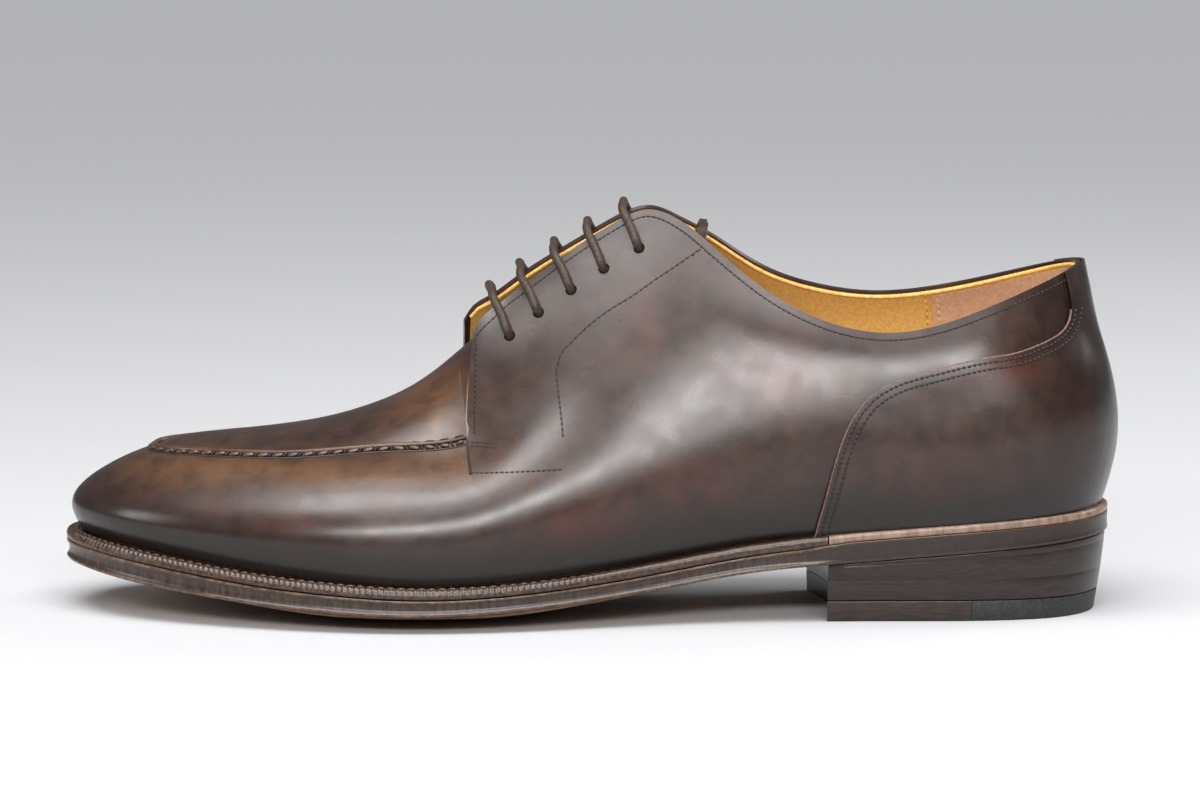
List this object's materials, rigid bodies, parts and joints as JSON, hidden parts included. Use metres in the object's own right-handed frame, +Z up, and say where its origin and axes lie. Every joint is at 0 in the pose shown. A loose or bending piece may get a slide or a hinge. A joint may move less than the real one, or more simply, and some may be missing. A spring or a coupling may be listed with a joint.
{
  "type": "apron toe derby",
  "caption": "Left dress shoe with an apron toe seam, open derby facings with laces, a heel counter overlay, welt, leather sole and stacked heel.",
  "frame": {"origin": "on the floor, below the middle of the shoe's bounding box", "axes": "+X from heel to toe, +Y to the outer side of the foot, +Z up"},
  "size_m": [0.3085, 0.1074, 0.1198],
  "materials": {
    "upper_calf": "burnished dark brown calf, satin polish",
    "counter_calf": "burnished dark brown calf, satin polish",
    "tongue_calf": "dark brown calf, satin",
    "lining_leather": "golden tan lining leather, dull grain",
    "welt_leather": "waxed dark brown leather edge",
    "rand_leather": "waxed light brown leather edge",
    "sole_leather": "waxed dark brown sole edge, satin",
    "heel_leather": "waxed very dark brown stacked leather",
    "heel_rubber": "matt black rubber",
    "lace_cotton": "round waxed dark brown cotton lace"
  },
  "bodies": {
    "root": {"upper": "upper_calf", "counter": "counter_calf", "tongue": "tongue_calf", "insole": "lining_leather", "welt": "welt_leather", "heel_rand": "rand_leather", "outsole": "sole_leather", "heel_stack": "heel_leather", "top_piece": "heel_leather", "heel_tip": "heel_rubber", "lace_bar_1": "lace_cotton", "lace_bar_2": "lace_cotton", "lace_bar_3": "lace_cotton", "lace_bar_4": "lace_cotton", "lace_bar_5": "lace_cotton"}
  },
  "joints": []
}
